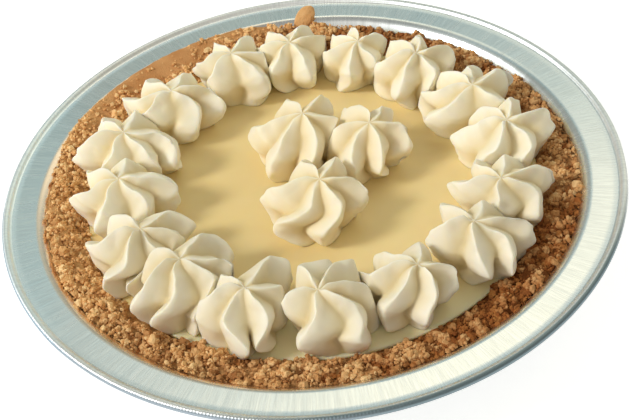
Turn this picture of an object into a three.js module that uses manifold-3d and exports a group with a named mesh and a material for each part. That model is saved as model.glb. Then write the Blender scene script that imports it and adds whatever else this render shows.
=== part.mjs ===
// A key lime pie in its foil pan: crumb crust, lime custard and piped cream swirls.
// Millimetres, +Z up. The origin is the centre of the pan's underside.
import * as THREE from "three";
import { mergeVertices } from "three/addons/utils/BufferGeometryUtils.js";
import Module from "manifold-3d";

// Driving dimensions of the foil pan, a nominal nine-inch pie pan
const RIM_RADIUS = 122; // outside of the curled bead
const RIM_TOP = 31; // top of the bead above the table
const BEAD_RADIUS = 1.4;
const FLANGE_INNER_RADIUS = 108; // where the flange turns down into the wall
const FLANGE_INNER_Z = 28.7;
const FLANGE_OUTER_Z = 29.7;
const SHOULDER_RADIUS = 1.6; // rounding between the flange and the wall
const BASE_RADIUS = 91;
const BASE_ROUNDING = 3;
const FOIL = 0.5;
const PAN_COLUMNS = 72;

// Driving dimensions of the crust and the custard
const CRUST_FLOOR = 5; // thickness under the custard
const CRUST_INNER_RADIUS = 91; // where the custard meets the crust
const CRUST_TOP_Z = 26.6; // top of the crumbs beside the foil
const CRUST_COLUMNS = 132;
const CRUMB_RISE = 2.2; // height of the crumb relief
const BAKED_EDGE = { bearing: 150, spread: 58, rise: 1.6 }; // where the crust climbs to the flange
const CRAG = { bearing: 87.3, spread: 3.2, rise: 5.5 }; // one flake that stands up at the back
const CUSTARD_TOP_Z = 22;
const CUSTARD_COLUMNS = 64;

// Driving dimensions of a cream swirl, piped through a six-point star tip
const FIN_COUNT = 6;
const FIN_ACROSS = [0, 0.3, 0.6, 0.8]; // facets across one fin, from its ridge through the groove
const SWIRL_ACROSS = 41;
const SWIRL_HEIGHT = 21.2;
const BULGE_SHARE = 0.48; // height of the widest girth, as a share of the swirl's height
const FOOT_ANGLE = THREE.MathUtils.degToRad(131); // the fin's arc, from the tip down and under to the foot
const FIN_SQUARENESS = 0.88; // under 1, the fins stay high and wide before they turn down
const TUCK = 0.05; // how far the fins draw in above the foot
const GROOVE_SHARE = 0.68; // radius of the grooves below the tip, as a share of the swirl's radius
const GROOVE_DEEPENING = 0.24; // how much deeper the grooves are at the girth
const FOOT_FLARE = 0.06; // how far the grooves spread again at the foot
const TIP_DIMPLE = 0.06; // depth of the tip below the fins' tops
const SWING = 12; // first turn of the fins, below the tip, in degrees
const SWEEP = -4; // turn of the fins at the girth
const FOOT_SWEEP = 5; // turn of the fins at the foot
const PRESS = 4; // how far before a neighbour the cream begins to flatten
const FIN_REACH = 0.99; // how far a fin comes to the swirl's radius
const FIN_UNEVENNESS = 0.05;
const GROOVE_PLACE = 0.6; // where the groove lies on the way to the next fin
const SWIRL_STEPS = [0, 0.11, 0.25, 0.39, 0.53, 0.67, 0.82, 1]; // share of the fin's arc at each ring

// Each border swirl in the order piped: bearing round the pie and distance from its middle, width, height,
// lean of the tip, bearings of its fins, and the turn of its two nearest fins at the girth and at the foot.
// Where some fins reach further than the rest, their stretch follows
const BORDER = [
  {
    bearing: 2.5, out: 75.7, wide: 1.02, tall: 0.97, lean: [3.3, 0],
    fins: [5, 62, 112, 160, 238, 288], girth: [5, -10], foot: [0, -5],
  },
  {
    bearing: 24, out: 72.8, wide: 1.03, tall: 0.95, lean: [3.8, -2],
    fins: [28, 72, 118, 160, 212, 300], girth: [-5, 0], foot: [0, 5],
  },
  {
    bearing: 49.5, out: 73.3, wide: 0.97, tall: 0.95, lean: [3.8, -1.3],
    fins: [3, 68, 118, 170, 228, 290], girth: [13, -5], foot: [38, -6],
  },
  {
    bearing: 70.5, out: 74.3, wide: 0.84, tall: 0.93, lean: [2.5, -2],
    fins: [22, 82, 125, 172, 238, 288], girth: [16, 17], foot: [-6, 45],
  },
  {
    bearing: 92.5, out: 76.5, wide: 0.95, tall: 0.93, lean: [1.8, -2.2],
    fins: [2, 58, 112, 165, 225, 285], girth: [7, 10], foot: [35, 18],
  },
  {
    bearing: 109.5, out: 74.4, wide: 0.98, tall: 0.97, lean: [-3.1, 0],
    fins: [-8, 60, 112, 165, 212, 305], girth: [0, 4], foot: [5, -12],
  },
  {
    bearing: 138, out: 75.8, wide: 1.1, tall: 0.96, lean: [2.9, -0.9],
    fins: [-12, 55, 120, 172, 215, 312], girth: [-5, -8], foot: [0, -5],
  },
  {
    bearing: 160.5, out: 75.3, wide: 1.1, tall: 0.98, lean: [-2.3, 0],
    fins: [-20, 60, 120, 178, 235, 300], girth: [0, 6], foot: [0, 5],
  },
  {
    bearing: 182, out: 73.4, wide: 1.05, tall: 0.97, lean: [-0.6, 0],
    fins: [-10, 72, 140, 185, 232, 298], girth: [7, 0], foot: [5, 0],
  },
  {
    bearing: 207.5, out: 75.3, wide: 1.02, tall: 0.99, lean: [1.9, 1.9],
    fins: [-20, 28, 120, 180, 240, 295], girth: [-8, -38], foot: [-2, -30],
  },
  {
    bearing: 227.5, out: 73.7, wide: 1.09, tall: 1, lean: [-0.7, 3.8],
    fins: [-12, 42, 130, 205, 250, 312], girth: [-15, -20], foot: [-7, -35],
  },
  {
    bearing: 247, out: 76.2, wide: 0.95, tall: 0.99, lean: [2.5, 1.3],
    fins: [-15, 48, 120, 168, 222, 288], girth: [46, -5], foot: [43, 14],
    stretch: [1, 1.26, 1, 1, 1, 1],
  },
  {
    bearing: 271.5, out: 76.4, wide: 0.96, tall: 0.98, lean: [-5.5, 2.4],
    fins: [-5, 45, 100, 168, 247, 318], girth: [-20, -15], foot: [-18, -10],
    stretch: [1, 1.16, 1.12, 1, 1, 1],
  },
  {
    bearing: 292.5, out: 73.2, wide: 0.9, tall: 0.97, lean: [5.6, -0.4],
    fins: [-18, 58, 118, 168, 225, 285], girth: [-2, -5], foot: [13, 3],
    stretch: [1, 1, 1, 1.1, 1.14, 1],
  },
  {
    bearing: 319.5, out: 76.4, wide: 0.97, tall: 0.96, lean: [-2.1, -0.4],
    fins: [-10, 55, 118, 172, 245, 308], girth: [26, -14], foot: [0, -8],
  },
  {
    bearing: 340, out: 76.8, wide: 1, tall: 0.93, lean: [-2.8, -2.8],
    fins: [8, 63, 115, 165, 245, 315], girth: [0, -10], foot: [5, 0],
  },
];

// The three swirls in the middle, placed from the middle of the pie
const CENTRE = [
  {
    x: -4.6, y: 18.7, wide: 1.06, tall: 1.02, lean: [5.3, 3.1],
    fins: [-18, 42, 102, 165, 218, 282], girth: [21, -2], foot: [18, 0],
  },
  {
    x: 20, y: 11, wide: 0.94, tall: 0.98, lean: [6.5, 0.7],
    fins: [-12, 42, 98, 160, 226, 280], girth: [30, 7], foot: [28, 35],
  },
  {
    x: -1.1, y: -19.6, wide: 1.02, tall: 0.99, lean: [5, 1.4],
    fins: [-15, 48, 100, 165, 238, 288], girth: [-25, -14], foot: [12, -2],
  },
];

const GAP = 0.3; // left between neighbouring solids
const CREAM_SEED = 7;
const CRUMB_SEED = 19;

const wasm = await Module();
wasm.setup();

const foil = new THREE.MeshStandardMaterial({ color: 0xc9d0d0, roughness: 0.28, metalness: 1 });
const crumb = new THREE.MeshStandardMaterial({ color: 0xb98650, roughness: 0.9, metalness: 0 });
const custard = new THREE.MeshStandardMaterial({ color: 0xe4cb8e, roughness: 0.42, metalness: 0 });
const cream = new THREE.MeshStandardMaterial({ color: 0xf7efdc, roughness: 0.55, metalness: 0 });

// A small repeatable random source, from 0 to 1
function seeded(seed) {
  let state = seed >>> 0;
  return () => {
    state = (state + 0x6d2b79f5) >>> 0;
    let mixed = Math.imul(state ^ (state >>> 15), state | 1);
    mixed ^= mixed + Math.imul(mixed ^ (mixed >>> 7), mixed | 61);
    return ((mixed ^ (mixed >>> 14)) >>> 0) / 4294967296;
  };
}

function smoothstep(low, high, value) {
  return THREE.MathUtils.smoothstep(value, low, high);
}

// How much of a feature centred on one bearing is felt at another, from 0 to 1
function nearBearing(feature, bearing) {
  const apart = Math.abs(((bearing - feature.bearing + 540) % 360) - 180);
  return Math.exp(-((apart / feature.spread) ** 2));
}

// The points of an arc in the radius and height plane, from one angle to another in degrees
function arc(radius, height, size, from, to, steps) {
  return Array.from({ length: steps + 1 }, (_, i) => {
    const angle = THREE.MathUtils.degToRad(from + ((to - from) * i) / steps);
    return new THREE.Vector2(radius + size * Math.cos(angle), height + size * Math.sin(angle));
  });
}

// A closed body of revolution about +Z
function revolve(profile, columns) {
  return new THREE.LatheGeometry(profile, columns).rotateX(Math.PI / 2);
}

// Moves each vertex of a revolved body. The move gets the row in its profile, the column and the vertex
function warp(geometry, rows, columns, move) {
  const position = geometry.getAttribute("position");
  const vertex = new THREE.Vector3();
  for (let i = 0; i < position.count; i++) {
    vertex.fromBufferAttribute(position, i);
    move(i % rows, Math.floor(i / rows) % columns, vertex);
    position.setXYZ(i, vertex.x, vertex.y, vertex.z);
  }
  return geometry;
}

// The same surface with one vertex at each corner
function welded(geometry) {
  const bare = geometry.clone();
  bare.deleteAttribute("normal");
  bare.deleteAttribute("uv");
  return mergeVertices(bare, 1e-4);
}

// A copy of a swirl that is larger all round. Its foot moves straight out from the swirl's axis
function swollen(geometry, axis, by) {
  const copy = welded(geometry);
  copy.computeVertexNormals();
  copy.computeBoundingBox();
  const foot = copy.boundingBox.min.z + by;
  const position = copy.getAttribute("position");
  const normal = copy.getAttribute("normal");
  const vertex = new THREE.Vector3();
  const out = new THREE.Vector3();
  for (let i = 0; i < position.count; i++) {
    vertex.fromBufferAttribute(position, i);
    out.fromBufferAttribute(normal, i);
    if (vertex.z < foot) out.set(vertex.x - axis.x, vertex.y - axis.y, 0).normalize().setZ(-0.3);
    vertex.addScaledVector(out, by);
    position.setXYZ(i, vertex.x, vertex.y, vertex.z);
  }
  return copy;
}

function toSolid(geometry) {
  const merged = welded(geometry);
  const vertProperties = new Float32Array(merged.getAttribute("position").array);
  const triVerts = new Uint32Array(merged.index.array);
  return new wasm.Manifold(new wasm.Mesh({ numProp: 3, vertProperties, triVerts }));
}

function toGeometry(solid) {
  const mesh = solid.getMesh();
  const geometry = new THREE.BufferGeometry();
  geometry.setAttribute("position", new THREE.BufferAttribute(mesh.vertProperties, mesh.numProp));
  geometry.setIndex(new THREE.BufferAttribute(mesh.triVerts, 1));
  geometry.computeVertexNormals();
  return geometry;
}

function largestBody(solid) {
  return solid.decompose().reduce((best, body) => (body.volume() > best.volume() ? body : best));
}

// The wall's radius on its inner face at a height, which the crust follows
function wallRadius(z) {
  const rise = (z - FOIL) / (FLANGE_INNER_Z - FOIL);
  return THREE.MathUtils.lerp(BASE_RADIUS, FLANGE_INNER_RADIUS - SHOULDER_RADIUS, rise) - FOIL;
}

// A point on the wall's outer face. The wall leans, so its foil measures more along the radius
function wallOutside(z) {
  return new THREE.Vector2(wallRadius(z) + FOIL * 1.2, z);
}

function panGeometry() {
  const beadRadius = RIM_RADIUS - BEAD_RADIUS;
  const beadZ = RIM_TOP - BEAD_RADIUS;
  const under = [
    new THREE.Vector2(0, 0),
    new THREE.Vector2(BASE_RADIUS - BASE_ROUNDING, 0),
    wallOutside(BASE_ROUNDING / 2),
    wallOutside(FLANGE_INNER_Z - SHOULDER_RADIUS - FOIL),
    new THREE.Vector2(FLANGE_INNER_RADIUS + SHOULDER_RADIUS * 0.3, FLANGE_INNER_Z - FOIL),
  ];
  const bead = arc(beadRadius, beadZ, BEAD_RADIUS, -150, 150, 6);
  const over = [
    new THREE.Vector2(beadRadius - BEAD_RADIUS * 1.25, FLANGE_OUTER_Z),
    new THREE.Vector2(FLANGE_INNER_RADIUS + SHOULDER_RADIUS * 0.5, FLANGE_INNER_Z),
    new THREE.Vector2(FLANGE_INNER_RADIUS - SHOULDER_RADIUS * 0.5, FLANGE_INNER_Z - SHOULDER_RADIUS * 0.35),
    new THREE.Vector2(wallRadius(FLANGE_INNER_Z - SHOULDER_RADIUS), FLANGE_INNER_Z - SHOULDER_RADIUS),
    new THREE.Vector2(wallRadius(BASE_ROUNDING), BASE_ROUNDING),
    new THREE.Vector2(BASE_RADIUS - BASE_ROUNDING, FOIL),
    new THREE.Vector2(0, FOIL),
  ];
  return revolve([...under, ...bead, ...over], PAN_COLUMNS);
}

// The crust's inner face below the crumbs: the custard follows it a gap inside
function crustInnerRadius(z) {
  const share = (z - CRUST_FLOOR) / (CUSTARD_TOP_Z - CRUST_FLOOR);
  return THREE.MathUtils.lerp(BASE_RADIUS - 12, CRUST_INNER_RADIUS, share);
}

// Radius and height across the crumbs, from the foil in to the custard
function crumbProfile(outerRadius) {
  const across = [1, 0.75, 0.5, 0.25];
  const span = outerRadius - CRUST_INNER_RADIUS - 1.2;
  const drop = CRUST_TOP_Z - CUSTARD_TOP_Z - 1.4;
  return across.map((share) => {
    const slope = (1 - share) ** 2;
    return new THREE.Vector2(CRUST_INNER_RADIUS + 1.2 + span * share, CRUST_TOP_Z - drop * slope);
  });
}

// The crust's cross-section, with a gap all round that can be widened to make a cutter
function crustProfile(grow) {
  const footZ = BASE_ROUNDING + FOIL;
  const outerTop = wallRadius(CRUST_TOP_Z) - GAP - 0.7;
  return [
    new THREE.Vector2(0, FOIL + GAP),
    new THREE.Vector2(BASE_RADIUS - BASE_ROUNDING - 1, FOIL + GAP),
    new THREE.Vector2(wallRadius(footZ) - GAP, footZ),
    new THREE.Vector2(wallRadius(CRUST_TOP_Z - 2.5) - GAP, CRUST_TOP_Z - 2.5),
    ...crumbProfile(outerTop).map((p) => new THREE.Vector2(p.x, p.y + grow)),
    new THREE.Vector2(CRUST_INNER_RADIUS + 0.4 - grow, CUSTARD_TOP_Z + 1 + grow),
    new THREE.Vector2(crustInnerRadius(CUSTARD_TOP_Z - 2) - grow, CUSTARD_TOP_Z - 2),
    new THREE.Vector2(crustInnerRadius(CRUST_FLOOR) - grow, CRUST_FLOOR),
    new THREE.Vector2(0, CRUST_FLOOR),
  ];
}

// The crust, with crumb relief on the rows that show
function crustGeometry() {
  const profile = crustProfile(0);
  const random = seeded(CRUMB_SEED);
  const bumps = Array.from({ length: CRUST_COLUMNS * profile.length }, () => random() - 0.5);
  const firstCrumbRow = 4;
  const lastCrumbRow = 8;
  return warp(revolve(profile, CRUST_COLUMNS), profile.length, CRUST_COLUMNS, (row, column, vertex) => {
    if (row < firstCrumbRow || row > lastCrumbRow) return;
    const bearing = THREE.MathUtils.radToDeg(Math.atan2(vertex.y, vertex.x));
    const bump = bumps[column * profile.length + row];
    const side = bumps[((column + 71) % CRUST_COLUMNS) * profile.length + row];
    const innermost = row === lastCrumbRow;
    const outerShare = 1 - (row - firstCrumbRow) / (lastCrumbRow - firstCrumbRow);
    const climb = BAKED_EDGE.rise * nearBearing(BAKED_EDGE, bearing) * outerShare;
    const crag = CRAG.rise * nearBearing(CRAG, bearing) * (outerShare > 0.7 ? 1 : 0);
    const radius = Math.hypot(vertex.x, vertex.y);
    const outward = row === firstCrumbRow ? -Math.abs(side) : side;
    const moved = radius + (innermost ? Math.abs(side) * 1.4 : outward * 1.2);
    vertex.x *= moved / radius;
    vertex.y *= moved / radius;
    vertex.z += bump * (innermost ? 0.6 : 1) * CRUMB_RISE + climb + crag;
  });
}

function custardGeometry() {
  const top = CUSTARD_TOP_Z - 0.5;
  const profile = [
    new THREE.Vector2(0, CRUST_FLOOR + GAP),
    new THREE.Vector2(crustInnerRadius(CRUST_FLOOR) - GAP * 2, CRUST_FLOOR + GAP),
    new THREE.Vector2(crustInnerRadius(top) - GAP * 2, top),
    new THREE.Vector2(CRUST_INNER_RADIUS - 1.6, CUSTARD_TOP_Z),
    new THREE.Vector2(0, CUSTARD_TOP_Z),
  ];
  return revolve(profile, CUSTARD_COLUMNS);
}

// Radius and height along a fin's ridge, as shares of the swirl's, from the tip to the foot
function ridgeAt(step) {
  const angle = step * FOOT_ANGLE;
  const radius = Math.sin(angle) ** FIN_SQUARENESS;
  const fall = Math.cos(angle);
  const above = BULGE_SHARE + (1 - BULGE_SHARE) * Math.max(0, fall) ** FIN_SQUARENESS;
  const below = (BULGE_SHARE * Math.min(0, fall)) / -Math.cos(FOOT_ANGLE);
  const tuck = 1 - TUCK * smoothstep(0.68, 0.9, step) + 0.4 * TUCK * smoothstep(0.9, 1, step);
  return new THREE.Vector2(radius * tuck, above + below);
}

// The same along a groove, which spreads out again at the foot
function grooveAt(step) {
  const angle = Math.min(step * FOOT_ANGLE, Math.PI / 2);
  const depth = 1 - GROOVE_DEEPENING * smoothstep(0.4, 0.75, step);
  const flare = FOOT_FLARE * smoothstep(0.85, 1, step);
  return new THREE.Vector2(GROOVE_SHARE * Math.sin(angle) * depth + flare, 1 - step ** 1.05);
}

// How far a fin has turned about the swirl's axis, in degrees
function veerAt(step, girth, foot) {
  const toGirth = SWING * smoothstep(0.03, 0.32, step) + (girth - SWING) * smoothstep(0.34, 0.7, step);
  return toGirth + (foot - girth) * smoothstep(0.72, 1, step);
}

// How much of a fin is felt at a share of the way from its ridge to the groove.
// The fins are thin blades above and round petals with a keel below
function finShare(offRidge, step) {
  const tent = 1 - offRidge;
  const blade = 0.6 * tent + 0.4 * tent ** 4;
  const petal = 0.76 * (1 - offRidge ** 1.7) + 0.24 * tent ** 3;
  return THREE.MathUtils.lerp(blade, petal, smoothstep(0.2, 0.62, step));
}

// A swirl's axis at a height above its foot. It leans more towards the tip
function axisAt(swirl, z) {
  const share = THREE.MathUtils.clamp(z / swirl.height, 0, 1) ** 2;
  return new THREE.Vector2(swirl.x + swirl.lean[0] * share, swirl.y + swirl.lean[1] * share);
}

// Flattens a swirl where it meets its neighbours
function pressTogether(swirl, spot, z) {
  for (const other of swirl.neighbours) {
    const own = axisAt(swirl, z);
    const towards = axisAt(other, z).sub(own);
    const distance = towards.length();
    towards.divideScalar(distance);
    const reach = spot.clone().sub(own).dot(towards);
    const limit = (distance * swirl.radius) / (swirl.radius + other.radius) - GAP;
    const over = Math.max(0, reach - limit + PRESS);
    const pressed = Math.min(reach, limit - PRESS) + PRESS * Math.tanh(over / PRESS);
    spot.addScaledVector(towards, pressed - reach);
  }
  return spot;
}

// One swirl of cream on the custard
function swirlGeometry(swirl) {
  const facets = FIN_ACROSS.length;
  const columns = FIN_COUNT * facets;
  const steps = [...SWIRL_STEPS, 1];
  const profile = steps.map((_, row) => new THREE.Vector2(row > 0 && row < steps.length - 1 ? 1 : 0, -row));
  const random = seeded(CREAM_SEED + swirl.seed);
  const stretch = swirl.stretch ?? Array(FIN_COUNT).fill(1);
  const reaches = stretch.map((far) => far * (FIN_REACH + (random() * 2 - 1) * FIN_UNEVENNESS));
  const farFins = FIN_COUNT - swirl.girth.length;
  const girths = [...Array(farFins).fill(SWEEP), ...swirl.girth];
  const feet = [...Array(farFins).fill(FOOT_SWEEP), ...swirl.foot];
  const foot = CUSTARD_TOP_Z + GAP;
  return warp(revolve(profile.reverse(), columns), steps.length, columns, (place, column, vertex) => {
    const row = steps.length - 1 - place;
    const step = steps[row];
    const fin = Math.floor(column / facets);
    const next = (fin + 1) % FIN_COUNT;
    const across = FIN_ACROSS[column % facets];
    const evenly = (values) => THREE.MathUtils.lerp(values[fin], values[next], across);
    const gap = (swirl.fins[next] - swirl.fins[fin] + 360) % 360;
    const offRidge = across < GROOVE_PLACE ? across / GROOVE_PLACE : (1 - across) / (1 - GROOVE_PLACE);
    const ridge = ridgeAt(step);
    ridge.x *= evenly(reaches);
    const share = grooveAt(step).lerp(ridge, finShare(offRidge, step));
    const onAxis = row === 0 || row === steps.length - 1;
    const r = onAxis ? 0 : swirl.radius * share.x;
    const z = row === 0 ? swirl.height * (1 - TIP_DIMPLE) : swirl.height * share.y;
    const veer = veerAt(step, evenly(girths), evenly(feet));
    const bearing = THREE.MathUtils.degToRad(swirl.fins[fin] + gap * across + veer);
    const spot = axisAt(swirl, z);
    spot.x += r * Math.cos(bearing);
    spot.y += r * Math.sin(bearing);
    if (!onAxis) pressTogether(swirl, spot, z);
    vertex.set(spot.x, spot.y, foot + (step === 1 ? 0 : z));
  });
}

function borderSwirls() {
  return BORDER.map((swirl, i) => {
    const bearing = THREE.MathUtils.degToRad(swirl.bearing);
    const name = `border_swirl_${String(i + 1).padStart(2, "0")}`;
    return { ...swirl, x: swirl.out * Math.cos(bearing), y: swirl.out * Math.sin(bearing), seed: i, name };
  });
}

function centreSwirls() {
  return CENTRE.map((swirl, i) => ({ ...swirl, seed: BORDER.length + i, name: `centre_swirl_${i + 1}` }));
}

// Gives each swirl its size and the swirls it may touch
function measured(swirls) {
  for (const swirl of swirls) {
    swirl.radius = (SWIRL_ACROSS / 2) * swirl.wide;
    swirl.height = SWIRL_HEIGHT * swirl.tall;
    swirl.neighbours = swirls.filter((other) => {
      const apart = Math.hypot(swirl.x - other.x, swirl.y - other.y);
      return other !== swirl && apart < SWIRL_ACROSS * 1.15;
    });
  }
  return swirls;
}

// Each swirl meets the ones piped before it, and the crust, with a gap
function fitSwirls(swirls) {
  const crustCutter = toSolid(revolve(crustProfile(CRUMB_RISE * 0.6 + GAP), CUSTARD_COLUMNS));
  const piped = [];
  return swirls.map((swirl) => {
    let solid = toSolid(swirlGeometry(swirl)).subtract(crustCutter);
    for (const earlier of piped.filter((other) => swirl.neighbours.includes(other))) {
      const shape = swirlGeometry(earlier);
      solid = solid.subtract(toSolid(swollen(shape, earlier, GAP * 1.6))).subtract(toSolid(shape));
    }
    piped.push(swirl);
    return { name: swirl.name, geometry: toGeometry(largestBody(solid)) };
  });
}

const pie = new THREE.Group();

function place(name, geometry, material) {
  const mesh = new THREE.Mesh(geometry, material);
  mesh.name = name;
  pie.add(mesh);
}

place("pan", panGeometry(), foil);
place("crust", crustGeometry(), crumb);
place("custard", custardGeometry(), custard);
for (const { name, geometry } of fitSwirls(measured([...borderSwirls(), ...centreSwirls()]))) {
  place(name, geometry, cream);
}

export default pie;
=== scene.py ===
"""The looks of a key lime pie in its foil pan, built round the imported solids.

Lengths are in millimetres until a mesh or a material is made. Bearings are anticlockwise from +X, in degrees
unless math.radians turns them.
"""
import math

import bpy
import numpy as np
from mathutils import Matrix, Vector


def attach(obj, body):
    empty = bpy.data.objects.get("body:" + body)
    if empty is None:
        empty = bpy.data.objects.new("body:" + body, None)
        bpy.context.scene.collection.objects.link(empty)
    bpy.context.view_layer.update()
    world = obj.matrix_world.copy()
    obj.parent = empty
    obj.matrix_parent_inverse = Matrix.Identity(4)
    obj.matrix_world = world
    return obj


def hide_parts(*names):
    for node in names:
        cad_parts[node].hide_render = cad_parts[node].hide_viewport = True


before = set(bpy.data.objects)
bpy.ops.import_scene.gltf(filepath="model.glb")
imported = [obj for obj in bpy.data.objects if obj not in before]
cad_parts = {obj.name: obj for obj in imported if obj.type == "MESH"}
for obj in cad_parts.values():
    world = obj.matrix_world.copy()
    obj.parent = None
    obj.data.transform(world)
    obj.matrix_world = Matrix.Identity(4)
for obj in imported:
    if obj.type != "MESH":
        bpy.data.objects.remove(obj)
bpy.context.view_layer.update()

MM = 0.001

# The camera, fitted to the outline of the rim, with its aim as pixels from the middle of the photo
PHOTO_WIDTH_PIXELS = 630
FOCAL_PIXELS = 1200
AIM_ACROSS_PIXELS = 0.289
AIM_DOWN_PIXELS = 38.309
CAMERA_TILT = math.radians(41.195)
CAMERA_ROLL = math.radians(7.233)
CAMERA_DISTANCE = 473.6
SENSOR_WIDTH = 36.0
NEAREST_SEEN = 10.0

# The floor and the sun
FLOOR_HALF_WIDTH = 3000.0
FLOOR_Z = -0.05
FLOOR_GLOW = 0.68
SUN_STRENGTH = 1.9
SUN_SPREAD = math.radians(15)
SUN_BEARING = math.radians(192)
SUN_RISE = math.radians(36)
SUN_COLOUR = (1.0, 0.985, 0.95)

# The light from behind the pie, from its left to its right, and from the other sides
BACK_LIGHT = [
    (0.0, (0.34, 0.35, 0.31)), (0.1, (0.38, 0.4, 0.35)), (0.2, (0.42, 0.57, 0.55)),
    (0.3, (0.2, 0.26, 0.21)), (0.39, (0.5, 0.63, 0.61)), (0.55, (0.24, 0.43, 0.54)),
    (0.64, (0.54, 0.6, 0.59)), (0.73, (0.74, 0.85, 0.84)), (0.81, (1.45, 1.36, 1.06)),
    (1.0, (1.38, 1.33, 1.07)),
]
FRONT_LIGHT = [(0.0, (0.7, 0.69, 0.65)), (1.0, (0.4, 0.385, 0.33))]
OVERHEAD_LIGHT = (0.32, 0.32, 0.3)
BACKDROP = (0.97, 0.97, 0.97)

# The foil pan
RIM_RADIUS = 122.0
RIM_TOP = 31.0
BEAD_RADIUS = 1.4
BEAD_MIDDLE_RADIUS = RIM_RADIUS - BEAD_RADIUS
BEAD_MIDDLE_Z = RIM_TOP - BEAD_RADIUS
FLANGE_INNER_RADIUS = 108.0
FLANGE_MIDDLE_RADIUS = 113.5
FLANGE_FLAT_FROM = FLANGE_INNER_RADIUS + 1.2
FLANGE_FLAT_TO = BEAD_MIDDLE_RADIUS - 2.3
FLANGE_OUTER_Z = 29.7
FLANGE_SLOPE = math.radians(1.0)
SHOULDER_RADIUS = 1.6
WALL_TOP_Z = 28.7
BASE_RADIUS = 91.0
BASE_ROUNDING = 3.0
BASE_RING_RADII = (30.0, 60.0)
FOIL = 0.35
WALL_FOIL = 0.42
PAN_COLUMNS = 1080

# Where the flange and the wall begin, are full, fade and end, by radius
FLANGE_BAND = (103.0, 107.5, 117.5, 119.5)
WALL_BAND = (91.5, 95.0, 104.5, 106.5)

# Wrinkles in the foil: waves for a radian round the pan, a millimetre outwards and a millimetre upwards
FINE_WAVES = (150, 0.05, 0.02)
BROAD_WAVES = (34, 0.08, 0.02)
PLEAT_WAVES = (60, 0.02, 0)
WOBBLE_WAVES = (3, 0, 0)
FINE_DEPTH = 0.002
RIB_DEPTH = 0.02
BROAD_DEPTH = 0.003
PLEAT_DEPTH = 0.03
WOBBLE_DEPTH = 0.25
WOBBLE_RADII = (104, 120)

# Streaks in the foil's finish, long outwards and close together round the pan, and ribs on the bead
STREAK_RADIUS = 114.0
STREAK_STRETCH = 0.06
STREAKS_PER_METRE = 1700.0
SHEEN_PER_METRE = 420.0
RIBS_PER_RADIAN = 640.0
RIB_SHARE = 1.5

# The crust
CRUST_FOOT_Z = 0.8
CRUST_FLOOR_Z = 5.0
CRUST_TOP_Z = 26.4
CRUST_INNER_RADIUS = 90.2
CRUST_OUTER_RADIUS = 104.6
CRUST_WALL_GAP = 0.3
CROWN_WALL_GAP = 0.25
CROWN_SUNK = 0.45
CROWN_ROUNDING = 1.2
ROUNDED_FROM = 101.5
FILLED_SQUARENESS = 0.85
CROWN_GRAIN = 0.9
CROWN_GRAIN_DEPTH = 0.3
CROWN_LEVEL_Z = 25.0
CROWN_INNER_RADIUS = 87.5
CROWN_FOOT = (87.0, 20.4)
CRUST_RING_RADII = (40.0, 80.0, BASE_RADIUS - BASE_ROUNDING - 1)
CRUST_WALL_RINGS_Z = (3.5, 10.0, 17.0, 23.5)
CRUST_BOWL_RADII = (BASE_RADIUS - 12, 40.0)
CRUST_COLUMNS = 900
CROWN_ROWS = 32
SLOPE_FROM = 91.5
SLOPE_WIDTH = 12.5
SLOPE_FALL = 3.3
SLOPE_CURVE = 1.7
FILLED_RISE = 1.9
DIP_DEPTH = 1.4
CLUMP_HEIGHT = 1.35
CLUMP = 4.2
CLUMP_SHARE = 0.9
NUGGET = 2.1
NUGGET_SHARE = 0.6
BAKED_SMOOTHNESS = 0.85
BAKED_SPAN = (0.35, 0.7)
BAKED_RADII = (96.5, 99)
HOLE_WIDTH = 2.6
HOLE_SPAN = (0.25, 0.6)
HOLE_RADII = (101, 98)
INNER_WANDER = 2.0
INNER_WAVES = 7
NIBBLE_DEPTH = 1.1
NIBBLE_WAVES = 19
INNER_EDGE_HALF = 1.5
INNER_EDGE_SUNK = 0.8

# Bearings at which the crust's rise to the flange and its lip begin, are full, fade and end
FILLED_BAND = (76, 100, 190, 225)
LIPPED_BAND = (88, 104, 152, 174)

# Bearings at which something is strongest, and how far it spreads
BAKED = (126, 24)
DIPPED = (40, 36)
RIBBED = (258, 42)

# How dark the crust is by bearing: partly baked browning, partly painted shadow of the swirls
TOAST_AND_SHADOW = [(0, 0.46), (45, 0.5), (62, 0.62), (82, 0.35), (110, 0.1), (160, 0), (210, 0)]
TOAST_AND_SHADOW += [(228, 0.33), (262, 0.4), (285, 0.66), (304, 1.0), (336, 1.0), (350, 0.42), (360, 0.46)]

# Radius and height along the foil's shoulder, and along the lip of crust that lies on it
SHOULDER = [(105.2, 27.5), (107.4, 28.8), (108.3, 29.1), (120.0, 29.35)]
SHOULDER_FOOT_Z = 27.6
LIP_REACH = 108.5
LIP_TOP_Z = 28.9
LIP = [(105.2, 27.3), (107.2, 28.4), (LIP_REACH, 28.85), (LIP_REACH - 0.4, 29.3)]
LIP += [(106.6, 29.2), (105.2, 28.9), (104.2, 28.6)]
LIP_WANDER = 0.5
LIP_ROUGHNESS = 0.15
LIP_WAVES = np.array([0.4, 0.4, 0])

# The flake that stands up at the back, with radius and height of its two ends
FLAKE_BEARING = math.radians(87)
FLAKE_FOOT = np.array([102.0, 23.0])
FLAKE_TIP = np.array([110.2, 34.0])
FLAKE_HALF_WIDTH = 4.3
FLAKE_HALF_THICKNESS = 1.7
FLAKE_FLARE = 0.28
FLAKE_SKEW = 0.42
FLAKE_LUMP_WAVES = 1.4
FLAKE_LUMP_DEPTH = 0.5
FLAKE_GRAIN_WAVES = 5
FLAKE_GRAIN_DEPTH = 0.12
FLAKE_FOOT_DARKENING = 0.3
FLAKE_FOOT_DARKENING_SPAN = (3, -4)
FLAKE_LEVELS = 4
FLAKE_PRESSED = 0.5

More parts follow.
